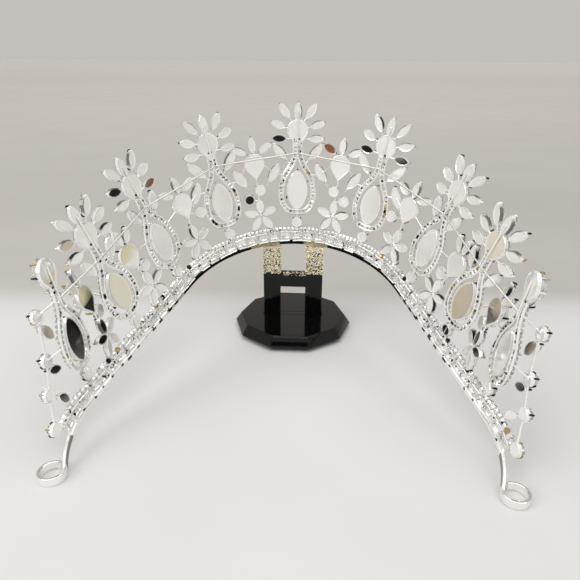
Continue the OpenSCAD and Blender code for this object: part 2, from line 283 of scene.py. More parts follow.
def template(bm):
    bmesh.ops.recalc_face_normals(bm, faces=bm.faces)
    return newMesh(bm, "shape")


rimHigh = 0.14  # how far a setting's face lies below its rim
rimSide = 0.85  # how far beside its middle line a rim can differ


# puts a copy of a small mesh into a piece; pane holds the painted reflection tones of a setting's sunk face,
# upper and lower half, and edge the side of its rim that gets painted shade, with its tone
def place(bm, shape, matrix=Matrix.Identity(4), tone=bright, pane=None, edge=None):
    copy = shape.copy()
    layer = copy.color_attributes.new("tone", "FLOAT_COLOR", "CORNER")
    colors = []
    for corner in copy.loops:
        co = copy.vertices[corner.vertex_index].co
        sunk = abs(co.z + rimHigh) < 0.05
        here = tone
        if pane and sunk:
            here = pane[co.y < 0]
        elif edge and not sunk and co.x * edge[0] > rimSide:
            here = edge[1]
        colors += [*here, 1.0]
    layer.data.foreach_set("color", colors)
    copy.transform(matrix)
    bm.from_mesh(copy)
    bpy.data.meshes.remove(copy)


def jitter(loose):
    return draw.uniform(-loose, loose)


# a small random turn, as handwork has
def swayed(loose):
    return turned("X", jitter(loose)) @ turned("Y", jitter(loose))


# the silver's tone with painted shade, a little darker at random from one small part to the next, and a few
# painted dark and warm reflections as glints
def shade(low, dark=0.0, warm=0.0):
    luck = draw.random()
    if luck < dark:
        return darkTone
    if luck < dark + warm:
        return glintTone
    light = draw.uniform(low, 1)
    return tuple(light * c for c in bright)


# small shapes
weld = 1e-4  # corners nearer than this are one
# how a stone is cut, from the girdle up: share of its height, and how wide it is there against the row below
cutRows = [(0.2, 1.0), (0.5, 0.82), (0.3, 0.5 / 0.82)]
# how a prong bends over: shares of its reach and its height, and how wide it is against the part below
prongBends = [(0, 0.75, 1.0), (0.45, 0.3, 0.95), (0.55, 0.02, 0.6)]


def marquiseOutline(length, width, count, pointed=1.4):
    points = []
    for i in range(count):
        a = math.tau * i / count
        across = math.copysign(abs(math.sin(a)) ** pointed, math.sin(a))
        points.append((width / 2 * across, length / 2 * math.cos(a)))
    return points


# a drop with its tip down, its round part reaching so many degrees below the widest place
def dropOutline(length, width, count=14, below=28):
    r = width / 2
    arc = [math.radians(-below + (180 + 2 * below) * i / (count - 1)) for i in range(count)]
    return [(0, -length / 2)] + [(r * math.cos(a), length / 2 - r + r * math.sin(a)) for a in arc]


def roundOutline(diameter, count=12):
    return [(diameter / 2 * math.sin(math.tau * i / count), diameter / 2 * math.cos(math.tau * i / count))
            for i in range(count)]


def outlineFace(bm, outline, z):
    face = bm.faces.new([bm.verts.new((x, y, z)) for x, y in outline])
    bm.normal_update()
    if face.normal.z < 0:
        face.normal_flip()
    return face


# a face pulled up and aside, and drawn in toward the middle
def raised(bm, face, by, scale=1.0, aside=0, middle=0):
    made = bmesh.ops.extrude_face_region(bm, geom=[face])["geom"]
    top = [g for g in made if isinstance(g, bmesh.types.BMFace)][0]
    bmesh.ops.delete(bm, geom=[face], context="FACES_ONLY")
    bmesh.ops.translate(bm, vec=(aside, 0, by), verts=top.verts)
    bmesh.ops.scale(bm, vec=(scale, scale, 1), verts=top.verts, space=moved(-middle, 0))
    return top


def softenEdges(bm, edges, offset, count=1):
    bmesh.ops.bevel(bm, geom=edges, offset=offset, affect="EDGES", segments=count, profile=0.5, material=-1)


# the flat back of a setting, with a raised rim toward the hollow
def backShape(outline, thick, rimWidth, rise=0.6):
    bm = bmesh.new()
    base = outlineFace(bm, outline, -thick)
    bmesh.ops.duplicate(bm, geom=[base])
    top = raised(bm, base, thick - rimHigh * rise)
    top = raised(bm, top, rimHigh * rise, 0.97)
    bmesh.ops.inset_region(bm, faces=[top], thickness=rimWidth, depth=-rimHigh, use_even_offset=True)
    bmesh.ops.remove_doubles(bm, verts=bm.verts, dist=weld)
    return template(bm)


# a cut stone: girdle, two rows of facets and a table toward -z, and a foiled underside of facets
# that throw light back
def stoneShape(outline, high, under=0.5):
    bm = bmesh.new()
    top = outlineFace(bm, outline, 0)
    bmesh.ops.duplicate(bm, geom=[top])
    for share, scale in cutRows:
        top = raised(bm, top, high * share, scale)
    bmesh.ops.remove_doubles(bm, verts=bm.verts, dist=weld)
    girdle = cutRows[0][0]
    sides = [f for f in bm.faces if len(f.verts) == 4 and girdle < f.calc_center_median().z / high < 0.99]
    bmesh.ops.triangulate(bm, faces=sides, quad_method="BEAUTY")
    poked = bmesh.ops.poke(bm, faces=[f for f in bm.faces if all(v.co.z < weld for v in f.verts)])
    for v in poked["verts"]:
        v.co.z = high * under
    for face in poked["faces"]:
        face.material_index = 1
    bmesh.ops.scale(bm, vec=(1, 1, -1), verts=bm.verts)
    return template(bm)


# a round stone from its width, height and number of sides
def roundStone(wide, high, sides):
    return stoneShape(roundOutline(wide, sides), high)


# a prong that stands at the edge of a stone and bends over it, toward -x
def clawShape(high, radius, reach=0.55):
    bm = bmesh.new()
    ring = bmesh.ops.create_circle(bm, segments=5, radius=radius, cap_ends=True)["verts"]
    face = ring[0].link_faces[0]
    bmesh.ops.duplicate(bm, geom=[face])
    x = 0
    for out, up, scale in prongBends:
        x -= reach * out
        face = raised(bm, face, high * up, scale, -reach * out, x)
    bmesh.ops.remove_doubles(bm, verts=bm.verts, dist=weld)
    bmesh.ops.scale(bm, vec=(1, 1, -1), verts=bm.verts)
    return template(bm)


# a small box cup with softened edges, its back toward +z
def cupShape(wide, high, deep, soften, recess=0.0, slope=1.4):
    bm = bmesh.new()
    bmesh.ops.create_cube(bm, size=1)
    bmesh.ops.scale(bm, vec=(wide, high, deep), verts=bm.verts)
    softenEdges(bm, list(bm.edges), soften)
    if recess:
        bm.normal_update()
        back = max(bm.faces, key=lambda f: f.calc_center_median().z)
        for depth in (0, -recess * slope):
            bmesh.ops.inset_region(bm, faces=[back], thickness=recess, depth=depth, use_even_offset=True)
    return template(bm)


def beadShape(radius, flat=1.0):
    bm = bmesh.new()
    bmesh.ops.create_icosphere(bm, subdivisions=1, radius=radius)
    bmesh.ops.scale(bm, vec=(1, 1, flat), verts=bm.verts)
    return template(bm)


# a round wire through points in world millimetres
def wireShape(points, radius, sides=2):
    curve = bpy.data.curves.new("wire", "CURVE")
    curve.dimensions = "3D"
    curve.bevel_depth = radius
    curve.bevel_resolution = sides
    curve.use_fill_caps = True
    spline = curve.splines.new("POLY")
    spline.points.add(len(points) - 1)
    for point, co in zip(spline.points, points):
        point.co = (*co, 1)
    holder = addObject("wire", curve)
    mesh = bpy.data.meshes.new_from_object(holder.evaluated_get(bpy.context.evaluated_depsgraph_get()))
    bpy.data.objects.remove(holder)
    bpy.data.curves.remove(curve)
    return mesh


def addWire(bm, points, radius, sides=2, tone=bright):
    mesh = wireShape(points, radius, sides)
    place(bm, mesh, tone=tone)
    bpy.data.meshes.remove(mesh)


# points of a smooth line through a few given ones
def smoothLine(points, steps=6):
    line = []
    for i in range(len(points) - 1):
        p0, p1, p2, p3 = (Vector(points[min(max(k, 0), len(points) - 1)]) for k in (i - 1, i, i + 1, i + 2))
        for j in range(steps):
            t = j / steps
            line.append(0.5 * (2 * p1 + (p2 - p0) * t + (2 * p0 - 5 * p1 + 4 * p2 - p3) * t ** 2
                               + (3 * p1 - p0 - 3 * p2 + p3) * t ** 3))
    line.append(Vector(points[-1]))
    return line


# evenly spaced (point, direction) along a line
def evenly(line, gap, start):
    due, walked = start, 0.0
    for a, b in zip(line, line[1:]):
        length = (b - a).length
        while due <= walked + length and length > 0:
            yield a + (b - a) * ((due - walked) / length), (b - a) / length
            due += gap
        walked += length


print("shapes ready")

# band and ends
band = {
    "stripStep": 2, "faceDepth": -0.1,  # faces above this depth are the strip's inner face
    "top": 6.9, "leanPower": 1.2,  # how the lean sets in above the strip
    "cupGap": 4.5, "cupWide": 3.9, "cupHigh": 3.0, "cupDeep": 1.7, "cupBack": -0.55,
    "cupSoft": 0.3, "cupRecess": 0.2, "cupSway": 5, "cupSwayFar": 8,  # what the looseness gains to the ends
    "fineGap": 1.55, "fineSize": 1.4, "fineDeep": 1.1, "fineBack": -0.4, "fineSway": 9,
    "stone": (3.0, 1.0, 8), "fineStone": (1.15, 0.5, 6),  # width, height, number of sides
    "stoneSeat": 0.05,
    "prong": (0.9, 0.28, 0.5), "prongAcross": 1.45, "prongUp": 1.2,  # a prong's height, radius and reach
    # tones with painted shade: the least light, then the shares of painted dark and of painted warm
    # reflections
    "cupTone": (0.85,), "prongTone": (0.4, 0.1, 0.05), "fineTone": (0.7, 0.06, 0.03), "rodTone": (0.5, 0.04),
    "grains": 1100, "grainSize": (0.2, 0.42), "grainUp": (2.6, 6.7), "grainDepth": (-0.75, -0.35),
    "grainTone": (0.6, 0.02, 0.0), "grainToneFar": (0.16, 0.05),  # what its shares gain to the ends
    "edges": [(2.0, 0.0, 0.36), (5.35, -0.4, 0.22)],  # rods along the cups: height, depth, radius
    "rodLong": 4, "rodParts": 8, "rodShift": 0.6, "rodTilt": 5,
    # painted shade: dark marks in some gaps between the cups
    "gaps": 0.6, "gapsFrom": 52,  # share of the places between cups that show dark, and where they begin
    "gapShift": 0.5, "gapUp": (1.0, 2.2), "gapDepth": 0.15, "gapWide": (0.5, 0.9), "gapSize": (0.4, 0.3),
    # painted reflections on the strip's inner face, of the dark room and of the gold prongs: from and to
    # along the band, tone
    "paintedReflections": [(-53, -19, darkTone), (-19, -7, sandTone), (-7, 3, darkTone), (3, 13, sandTone),
                 (13, 53, darkTone)],
    # middles of the short dashes of painted dark reflection further out
    "reflectionDashes": [-88, -74, -70, -64, -60, -54, 56, 60, 64, 70, 74, 78, 84], "dashLong": 2,
}


# bends shapes made straight (x along the band, y up, z toward the hollow) round the crown
def bendToBand(bm):
    for v in bm.verts:
        x, y, heading = alongBand(v.co.x)
        lean = math.radians(leanAt(v.co.x / crown["pitch"])[0])
        above = max(0, v.co.y - strip["height"]) / (band["top"] - strip["height"])
        out = -v.co.z + above ** band["leanPower"] * band["top"] * math.sin(lean)
        up = v.co.y - above * band["top"] * (1 - math.cos(lean))
        a = math.radians(heading)
        v.co = crownPlace @ Vector((x + out * math.sin(a), y + out * math.cos(a), up))


# a straight length of the strip in parts that can be bent, its face at z = 0 and its lower edge at y = 0
def straightStrip(length, parts):
    bm = bmesh.new()
    middle = moved(0, strip["height"] / 2, -strip["thick"] / 2)
    size = Matrix.Diagonal((length, strip["height"], strip["thick"], 1))
    bmesh.ops.create_cube(bm, size=1, matrix=middle @ size)

    def longEdges():
        return [e for e in bm.edges if abs(e.verts[0].co.x - e.verts[1].co.x) > length / 2]

    softenEdges(bm, longEdges(), strip["soft"])
    bmesh.ops.subdivide_edges(bm, edges=longEdges(), cuts=parts - 1)
    return template(bm)


def toneFace(bm, face, tone):
    layer = bm.loops.layers.float_color["tone"]
    for corner in face.loops:
        corner[layer] = (*tone, 1)


def makeBandStrip():
    bm = newPiece()
    length = 2 * crown["halfLength"]
    place(bm, straightStrip(length, int(length / band["stripStep"])))
    # painted reflections: the strip's inner face is toned dark where it would mirror the dark room and
    # gold-brown where it would mirror the prongs
    half = band["dashLong"] / 2
    reflectionStretches = band["paintedReflections"] + [(x - half, x + half, darkTone) for x in band["reflectionDashes"]]
    for face in bm.faces:
        middle = face.calc_center_median()
        for start, end, tone in reflectionStretches:
            if middle.z > band["faceDepth"] and start < middle.x < end:
                toneFace(bm, face, tone)
    bendToBand(bm)
    # the bare ends run on from the strip and curl into loops that lie on the table
    for g in (-1, 1):
        stem = straightStrip(endStrip["length"], endStrip["parts"])
        inner = [face.index for face in stem.polygons if face.center.z > endStrip["faceDepth"]]
        for v in stem.vertices:
            run = v.co.x + endStrip["length"] / 2
            x, y, heading = arcEnd(bandEnd, run, endStrip["turn"] * run / endStrip["length"])
            a = math.radians(heading)
            v.co = crownPlace @ Vector((g * (x - v.co.z * math.sin(a)), y - v.co.z * math.cos(a), v.co.y))
        first = len(bm.faces)
        place(bm, stem)
        bm.faces.ensure_lookup_table()
        # the stems' inner faces get a grey tone, painted shade
        for i in inner:
            toneFace(bm, bm.faces[first + i], greyTone)
        bpy.data.meshes.remove(stem)
    finishPiece("bandStrip", bm, "satin")


def makeEndLoops():
    bm = newPiece()
    r = endStrip["loop"] / 2
    a = math.radians(stemEnd[2])
    for g in (-1, 1):
        loop = bmesh.new()
        thick, high = strip["thick"], endStrip["loopHeight"]
        section = moved(r - thick / 2, 0, high / 2) @ turned("X", 90) @ Matrix.Diagonal((thick, high, 1, 1))
        bmesh.ops.create_grid(loop, x_segments=1, y_segments=1, size=0.5, matrix=section)
        bmesh.ops.spin(loop, geom=list(loop.faces), axis=(0, 0, 1), cent=(0, 0, 0), use_merge=False,
                       steps=endStrip["loopParts"], angle=math.radians(endStrip["loopSweep"]))
        bmesh.ops.holes_fill(loop, edges=[e for e in loop.edges if e.is_boundary], sides=4)
        # the four edges that run round the loop
        sharp = [e for e in loop.edges if abs(e.verts[0].co.xy.length - e.verts[1].co.xy.length) < 1e-3
                 and abs(e.verts[0].co.z - e.verts[1].co.z) < 1e-3]
        softenEdges(loop, sharp, endStrip["loopSoft"], 2)
        x = g * (stemEnd[0] + r * math.sin(a)) + crown["shift"]
        y = stemEnd[1] * math.cos(math.radians(tilt)) + r * math.cos(a)
        turn = turned("Z", 270 - stemEnd[2] - endStrip["loopStart"])
        flip = Matrix.Diagonal((g, 1, 1, 1))
        bmesh.ops.transform(loop, matrix=moved(x, y, 0) @ flip @ turn, verts=loop.verts)
        place(bm, template(loop))
    finishPiece("endLoops", bm, "mirror")


def makeBandCups():
    cups, stones = newPiece(), newPiece()
    cup = cupShape(band["cupWide"], band["cupHigh"], band["cupDeep"], band["cupSoft"], band["cupRecess"])
    stone = roundStone(*band["stone"])
    claw = clawShape(*band["prong"])
    bead = cupShape(band["fineSize"], band["fineSize"], band["fineDeep"], band["cupSoft"])
    tiny = roundStone(*band["fineStone"])
    count = int((crown["halfLength"] - band["cupWide"] / 2) / band["cupGap"])
    middle = strip["height"] + band["cupHigh"] / 2
    for k in range(-count, count + 1):
        at = moved(k * band["cupGap"], middle, band["cupBack"] - band["cupDeep"] / 2)
        sway = swayed(band["cupSway"] + band["cupSwayFar"] * abs(k) / count)
        place(cups, cup, at @ sway, shade(*band["cupTone"]))
        front = moved(k * band["cupGap"], middle, band["cupBack"] - band["stoneSeat"] - band["cupDeep"])
        place(stones, stone, front)
        for dx in (-1, 1):
            for dy in (-1, 1):
                corner = moved(dx * band["prongAcross"], dy * band["prongUp"])
                corner = corner @ turned("Z", math.degrees(math.atan2(dy, dx)))
                place(cups, claw, front @ corner, shade(*band["prongTone"]))
    reach = crown["halfLength"] - 1
    fine = int(reach / band["fineGap"])
    for k in range(-fine, fine + 1):
        depth = band["fineBack"] - band["fineDeep"] / 2
        at = moved(k * band["fineGap"], band["top"] - band["fineSize"] / 2, depth)
        place(cups, bead, at @ swayed(band["fineSway"]), shade(*band["fineTone"]))
        place(stones, tiny, at @ moved(0, 0, -band["fineDeep"] / 2))
    # claws and stones that show round the cups' backs, with painted shade and more painted dark and warm
    # reflections toward the ends
    grain = beadShape(1)
    low, dark, warm = band["grainTone"]
    for k in range(band["grains"]):
        share = draw.uniform(-1, 1)
        up, depth = draw.uniform(*band["grainUp"]), draw.uniform(*band["grainDepth"])
        size = Matrix.Scale(draw.uniform(*band["grainSize"]), 4)
        moreDark, moreWarm = (abs(share) * more for more in band["grainToneFar"])
        tone = shade(low, dark + moreDark, warm + moreWarm)
        place(cups, grain, moved(share * reach, up, depth) @ size, tone)
    # short rods between the cups, and dark marks of painted shade in the gaps beside them
    for up, depth, radius in band["edges"]:
        steps = [i / band["rodParts"] - 0.5 for i in range(band["rodParts"] + 1)]
        rod = wireShape([(step * band["rodLong"], 0, 0) for step in steps], radius, sides=1)
        for k in range(-count, count + 1):
            at = moved(k * band["cupGap"] + jitter(band["rodShift"]), up, depth)
            place(cups, rod, at @ turned("Z", jitter(band["rodTilt"])), shade(*band["rodTone"]))
    for k in range(-count, count):
        x = (k + 0.5) * band["cupGap"]
        if abs(x) > band["gapsFrom"] and draw.random() < band["gaps"]:
            at = moved(x + jitter(band["gapShift"]), draw.uniform(*band["gapUp"]), band["gapDepth"])
            size = Matrix.Diagonal((draw.uniform(*band["gapWide"]), *band["gapSize"], 1))
            place(cups, grain, at @ size, darkTone)
    for bm in (cups, stones):
        bendToBand(bm)
    finishPiece("bandCups", cups, "metal")
    finishPiece("bandStones", stones, "crystal")


makeBandStrip()
makeEndLoops()
makeBandCups()
print("band made")

# settings of the motifs
setting = {
    # length and width of the cut stones, and of the flat backs that hold them
    "stones": {"navette": (15.2, 7.5), "sprayPear": (10, 7.2), "midPear": (9.4, 7.2), "leaf": (5.4, 2.2),
               "round": (3.5, 3.5)},
    "backs": {"navette": (16.0, 8.3), "sprayPear": (10.8, 8.0), "midPear": (10.2, 8.0), "leaf": (6.2, 2.95),
              "round": (4.3, 4.3)},
    "rims": {"navette": 0.5, "sprayPear": 0.42, "midPear": 0.42, "leaf": 0.38, "round": 0.55},
    "stoneHigh": {"navette": 2.7, "sprayPear": 2.7, "midPear": 2.7, "leaf": 1.3, "round": 1.7},
    "sides": {"navette": 24, "leaf": 12},  # of their outlines
    # painted shade on the upper side of some leaves' rims
    "shadedRims": 0.5,  # share of the leaves
    "backTone": 0.94,  # the least light
    "sway": 2.5, "navetteSway": 1,  # looseness in degrees
    "prongHigh": 0.8, "prongOver": 0.3,  # a prong's height: share of the stone's height, and what is added
    "prongRadius": 0.32, "leafProngRadius": 0.3, "prongFoot": 0.5,
    # tones of the prongs with painted shade: the least light, then the shares of painted dark and of painted
    # warm reflections
    "prongTone": (0.4, 0.3, 0.1), "prongToneFar": (0.4, 0.45, 0.25),
    # heights in shares of the motif's height
    "navetteUp": 0.402, "roundUp": 0.168, "sprayPearUp": 0.787, "flowerUp": 0.24, "neckUp": 0.66,
    "midPearUp": (0.587, 0.498),  # beside the middle motif, further out
    "flowerGap": 1.0, "flowerWide": 1.1,  # from a flower's middle to its leaves, and how wide these are
}
# columns [across, up, turn, length, width], places in shares of the motif's height
sprayLeaves = [(0.090, 0.936, 36, 1.05, 1.05), (0.134, 0.848, 71, 0.95, 1.05), (0.128, 0.757, 88, 0.95, 1.05)]
topLeaf = (0, 0.933, 0, 1.12, 1.1)
lowLeaves = [(0.122, 0.665, 40, 1.4, 1.2), (0.096, 0.655, 21, 1.1, 1.1)]  # of the middle motifs, further out
shoulderLeaf = (0.166, 0.52, -29, 1.35, 1.3)
middleLeaf = (0, 0.148, 0, 1, 1)
nearLeaves = [middleLeaf, (0.09, 0.118, 62, 0.95, 1), (-0.09, 0.118, -62, 0.95, 1)]
farLeaves = [middleLeaf, (0.060, 0.126, 38, 0.9, 1)]
sideLeaves = [middleLeaf, (-0.060, 0.126, -38, 0.9, 1)]
endLeaves = [(0.14, 0.56, -28, 1.1, 1.2), (0.075, 0.37, -62, 0.9, 1), (0.04, 0.205, -35, 0.9, 1)]
endRounds = [(0.13, 0.66), (0.055, 0.44), (-0.035, 0.29), (-0.105, 0.12)]
# between the motifs, from the middle outward
midRoundRows = [[(0.018, 0.42), (-0.066, 0.362)], [(0.108, 0.4)], [(0.054, 0.385)], [(0.054, 0.385)]]
flowerShifts = [0, 0, 0.02, 0.01]
flowerRows = [(0, 1), (73, 1), (-73, 1), (146, 1.1), (-146, 1.1)]  # turn to the left, length


def motifLeaves(m):
    if abs(m) == motifCount:
        return []
    rows = sprayLeaves + ([lowLeaves[0], shoulderLeaf] if abs(m) < 2 else [lowLeaves[1]])
    return [topLeaf] + [(g * r[0], r[1], g * r[2], r[3], r[4]) for r in rows for g in (-1, 1)]


def midLeaves(m):
    rows = nearLeaves if abs(m) < 2 else farLeaves if abs(m) < 3 else sideLeaves
    return [(-sideOf(m) * r[0], r[1], -sideOf(m) * r[2], r[3], r[4]) for r in rows]


def midUp(m):
    return setting["midPearUp"][abs(m) > 1]


def midRounds(m):
    return [(-sideOf(m) * x, y) for x, y in midRoundRows[int(abs(m))]]


def flowerAcross(m):
    return -sideOf(m) * flowerShifts[int(abs(m))] * tall


# every stone setting of the crown: (kind, node that its stone stands for, sheet, x, y, turn, length, width)
def allSettings():
    for k, m in enumerate(motifPlaces, 1):
        yield "navette", f"navette_stone_{k}", m, 0, setting["navetteUp"] * tall, 0, 1, 1
        yield "sprayPear", f"spray_pear_stone_{k}", m, 0, setting["sprayPearUp"] * tall, 0, 1, 1
        yield "round", "round_stones", m, 0, setting["roundUp"] * tall, 0, 1, 1
        for x, y, turn, length, width in motifLeaves(m):
            yield "leaf", "spray_leaf_stones", m, x * tall, y * tall, -turn, length, width
    for k, m in enumerate(midPlaces, 1):
        up = midUp(m) * tall
        yield "midPear", f"mid_pear_stone_{k}", m, 0, up, 0, 1, 1
        for x, y, turn, length, width in midLeaves(m):
            yield "leaf", "mid_leaf_stones", m, x * tall, up + y * tall, -turn, length, width
        for x, y in midRounds(m):
            yield "round", "round_stones", m, x * tall, y * tall, 0, 1, 1
        for turn, length in flowerRows:
            far = setting["flowerGap"] + length * setting["stones"]["leaf"][0] / 2
            a = math.radians(turn)
            x, y = flowerAcross(m) - far * math.sin(a), setting["flowerUp"] * tall + far * math.cos(a)
            yield "leaf", "flower_stones", m, x, y, turn, length, setting["flowerWide"]
    for m in endPlaces:
        g = -sideOf(m)
        for x, y, turn, length, width in endLeaves:
            yield "leaf", "mid_leaf_stones", m, g * x * tall, y * tall, -g * turn, length, width
        for x, y in endRounds:
            yield "round", "round_stones", m, g * x * tall, y * tall, 0, 1, 1


def outlineOf(kind, length, width):
    if kind == "round":
        return roundOutline(width)
    if kind in ("navette", "leaf"):
        return marquiseOutline(length, width, setting["sides"][kind])
    return dropOutline(length, width)


# where the prongs stand round each kind of stone: degrees round it, with the distance from its middle
prongs = {
    "navette": [(90, 7.9), (-90, 7.9), (38, 5.4), (142, 5.4), (-38, 5.4), (-142, 5.4)],
    "sprayPear": [(-90, 5.3), (20, 3.9), (160, 3.9), (68, 5.0), (112, 5.0)],
    "midPear": [(-90, 5.0), (20, 3.9), (160, 3.9), (68, 4.8), (112, 4.8)],
    "leaf": [(90, 3.0), (-90, 3.0)],
    "round": [(45, 1.95), (135, 1.95), (-45, 1.95), (-135, 1.95)],
}
# backs with painted reflections of dark or warm surroundings: tone of the back and of its lower half, then
# the sheet of each and its place there in shares of the motif's height
paintedReflectionBacks = [
    (darkTone, darkTone, [(0, -0.128, 0.757), (-0.5, -0.066, 0.362), (1, -0.128, 0.757), (-2, -0.134, 0.848),
                          (-3.5, 0.01, 0.306), (-3.5, -0.053, 0.259), (3, 0, 0.168), (-4.5, 0.075, 0.37)]),
    (darkTone, greyTone, [(1, 0.128, 0.757), (3.5, -0.01, 0.306), (-4.5, 0.04, 0.205), (4.5, -0.075, 0.37)]),
    (darkTone, slateTone, [(-4, 0, 0.402)]),
    (greyTone, darkTone, [(3.5, 0.053, 0.259)]),
    (brownTone, brownTone, [(0.5, -0.09, 0.705)]),
    (brownTone, greyTone, [(-2, 0.128, 0.757)]),
    (warmTone, darkTone, [(-3.5, 0, 0.498)]),
    (warmTone, bright, [(-2.5, 0, 0.498)]),
    (beigeTone, beigeTone, [(-3, -0.134, 0.848), (3, 0, 0.402)]),
    (beigeTone, greyTone, [(3.5, 0, 0.498), (4.5, -0.14, 0.56)]),
    (paleTone, beigeTone, [(-4.5, 0.14, 0.56)]),
    (paleTone, paleTone, [(-3, 0, 0.402), (3, 0, 0.787)]),
    (bright, paleTone, [(-4, 0, 0.787)]),
]


# the painted reflection tones of a back, if it has them
def tonesOf(m, x, y, near=1.5):
    for tone, lowTone, spots in paintedReflectionBacks:
        for sheet, across, up in spots:
            if sheet == m and math.hypot(x - across * tall, y - up * tall) < near:
                return tone, lowTone
    return None


# some leaves' rims get painted shade at their upper side
def rimOf(kind, m, turn):
    if kind != "leaf" or draw.random() > setting["shadedRims"]:
        return None
    upright = 0.05 * sideOf(m)  # decides where a leaf has no upper side
    up = math.sin(math.radians(turn)) + upright
    return math.copysign(1, up), draw.choice((darkTone, greyTone, greyTone))


def makeSettings():
    backBm, clawBm = newPiece(), newPiece()
    stoneBms, backShapes, stoneShapes, clawShapes = {}, {}, {}, {}
    thick = crown["backThick"]
    for kind, high in setting["stoneHigh"].items():
        backShapes[kind] = backShape(outlineOf(kind, *setting["backs"][kind]), thick, setting["rims"][kind])
        stoneShapes[kind] = stoneShape(outlineOf(kind, *setting["stones"][kind]), high)
        radius = setting["leafProngRadius" if kind == "leaf" else "prongRadius"]
        clawShapes[kind] = clawShape(high * setting["prongHigh"] + setting["prongOver"], radius)
    for kind, node, m, x, y, turn, length, width in allSettings():
        sway = swayed(setting["navetteSway" if kind == "navette" else "sway"])
        here = sheetPlace(m) @ moved(x, y, -thick / 2) @ turned("Z", turn) @ sway
        size = Matrix.Diagonal((width, length, 1, 1))
        place(backBm, backShapes[kind], here @ moved(0, 0, thick / 2) @ size, shade(setting["backTone"]),
              tonesOf(m, x, y), rimOf(kind, m, turn))
        if node not in stoneBms:
            stoneBms[node] = newPiece()
        base = here @ moved(0, 0, -thick / 2 - crown["stoneGap"])
        place(stoneBms[node], stoneShapes[kind], base @ size)
        tone = setting["prongToneFar" if abs(m) > 3 else "prongTone"]
        for degrees, far in prongs[kind]:
            a = math.radians(degrees)
            foot = moved(far * math.cos(a) * width, far * math.sin(a) * length, setting["prongFoot"])
            place(clawBm, clawShapes[kind], base @ foot @ turned("Z", degrees), shade(*tone))
    finishPiece("settingBacks", backBm, "satin", nodes=["crown_frame"])
    finishPiece("stoneProngs", clawBm, "metal", smooth=True)
    for node, bm in stoneBms.items():
        words = node.split("_")
        name = words[0] + "".join(w.capitalize() for w in words[1:])
        finishPiece(name, bm, "crystal", nodes=[node])


makeSettings()
print("settings made")

# rings
ring = {
    # outer edge of one side, in shares of the motif's height
    "side": [(0, 0.222), (0.068, 0.238), (0.118, 0.295), (0.134, 0.385), (0.112, 0.495), (0.052, 0.6),
             (0.034, 0.67), (0.034, 0.75)],
    "width": 2.1, "cupGap": 1.55, "cupFrom": 0.5, "cupWide": 1.2, "cupHigh": 1.7, "cupDeep": 0.9,
    "cupDepth": -0.62, "cupSoft": 0.25, "cupSway": 8,
    # the ring cups' tones are painted shade, with painted dark and warm reflections
    "cupTone": (0.66, 0.06, 0.03),  # the least light, then the shares of dark and of warm ones
    "stone": (1.3, 0.7, 8), "stoneDepth": -0.55,  # width, height, number of sides
    "rail": 0.36, "railOut": 0.8, "railDepth": -0.35,
    # painted shade: dark marks in some of the places between cups
    "gaps": 0.32,  # share of the places between cups that show dark
    "gapShift": 0.6, "gapDepth": 0.42, "gapSize": (0.25, 0.4),
}


# the line that runs beside another one, so much to its left
def beside(line, by, z):
    out = []
    for a, b in zip(line, line[1:]):
        direction = (b - a).normalized()
        out.append(Vector((a.x - direction.y * by, a.y + direction.x * by, z)))
    return out


def makeRings():
    cups, stones = newPiece(), newPiece()
    cup = cupShape(ring["cupWide"], ring["cupHigh"], ring["cupDeep"], ring["cupSoft"])
    stone = roundStone(*ring["stone"])
    grain = beadShape(1)
    outer = smoothLine([(x * tall, y * tall, 0) for x, y in ring["side"]])
    line = beside(outer, ring["width"] / 2, 0)
    for g in (-1, 1):
        for m in motifPlaces:
            sheet = sheetPlace(m) @ Matrix.Diagonal((g, 1, 1, 1))
            for offset in (-ring["railOut"], ring["railOut"]):
                rail = [sheet @ point for point in beside(line, offset, ring["railDepth"])]
                addWire(cups, rail, ring["rail"], sides=1)
            for point, direction in evenly(line, ring["cupGap"], ring["cupFrom"]):
                a = math.degrees(math.atan2(direction.y, direction.x))
                at = sheet @ moved(point.x, point.y, ring["cupDepth"]) @ turned("Z", a)
                place(cups, cup, at @ swayed(ring["cupSway"]), shade(*ring["cupTone"]))
                place(stones, stone, at @ moved(0, 0, ring["stoneDepth"]))
                # a dark mark of painted shade in some gaps between cups
                if draw.random() < ring["gaps"]:
                    gap = at @ moved(ring["cupGap"] / 2, jitter(ring["gapShift"]), ring["gapDepth"])
                    place(cups, grain, gap @ Matrix.Scale(draw.uniform(*ring["gapSize"]), 4), darkTone)
    finishPiece("ringCups", cups, "metal")
    finishPiece("ringStones", stones, "crystal")


makeRings()
print("rings made")

# wires
wire = {
    "foot": 0.42, "up": 0.378, "thin": 0.3, "neck": 0.34,  # radii
    # the neck wires' greyer tone is painted shade
    "neckTone": (0.74, 0.73, 0.7),
    "over": 0.25, "behind": -0.55, "among": -0.5,  # depths: over the backs, behind them and among them
    "stalk": 2.4,
    # where wires begin and end, up the sheet in shares of the motif's height
    "footTop": 0.25, "endTop": 0.84, "shoulderUp": 0.51, "ringUp": 0.47, "endRingUp": 0.43,
    # and across it or up it in millimetres
    "shoulder": 5.5, "pearSide": 3.9, "ringSide": 6, "endRingSide": 6.3, "neckSide": 2,
    "belowNeck": 1.5, "belowPear": 4, "roundMeets": (-1, 2),
}


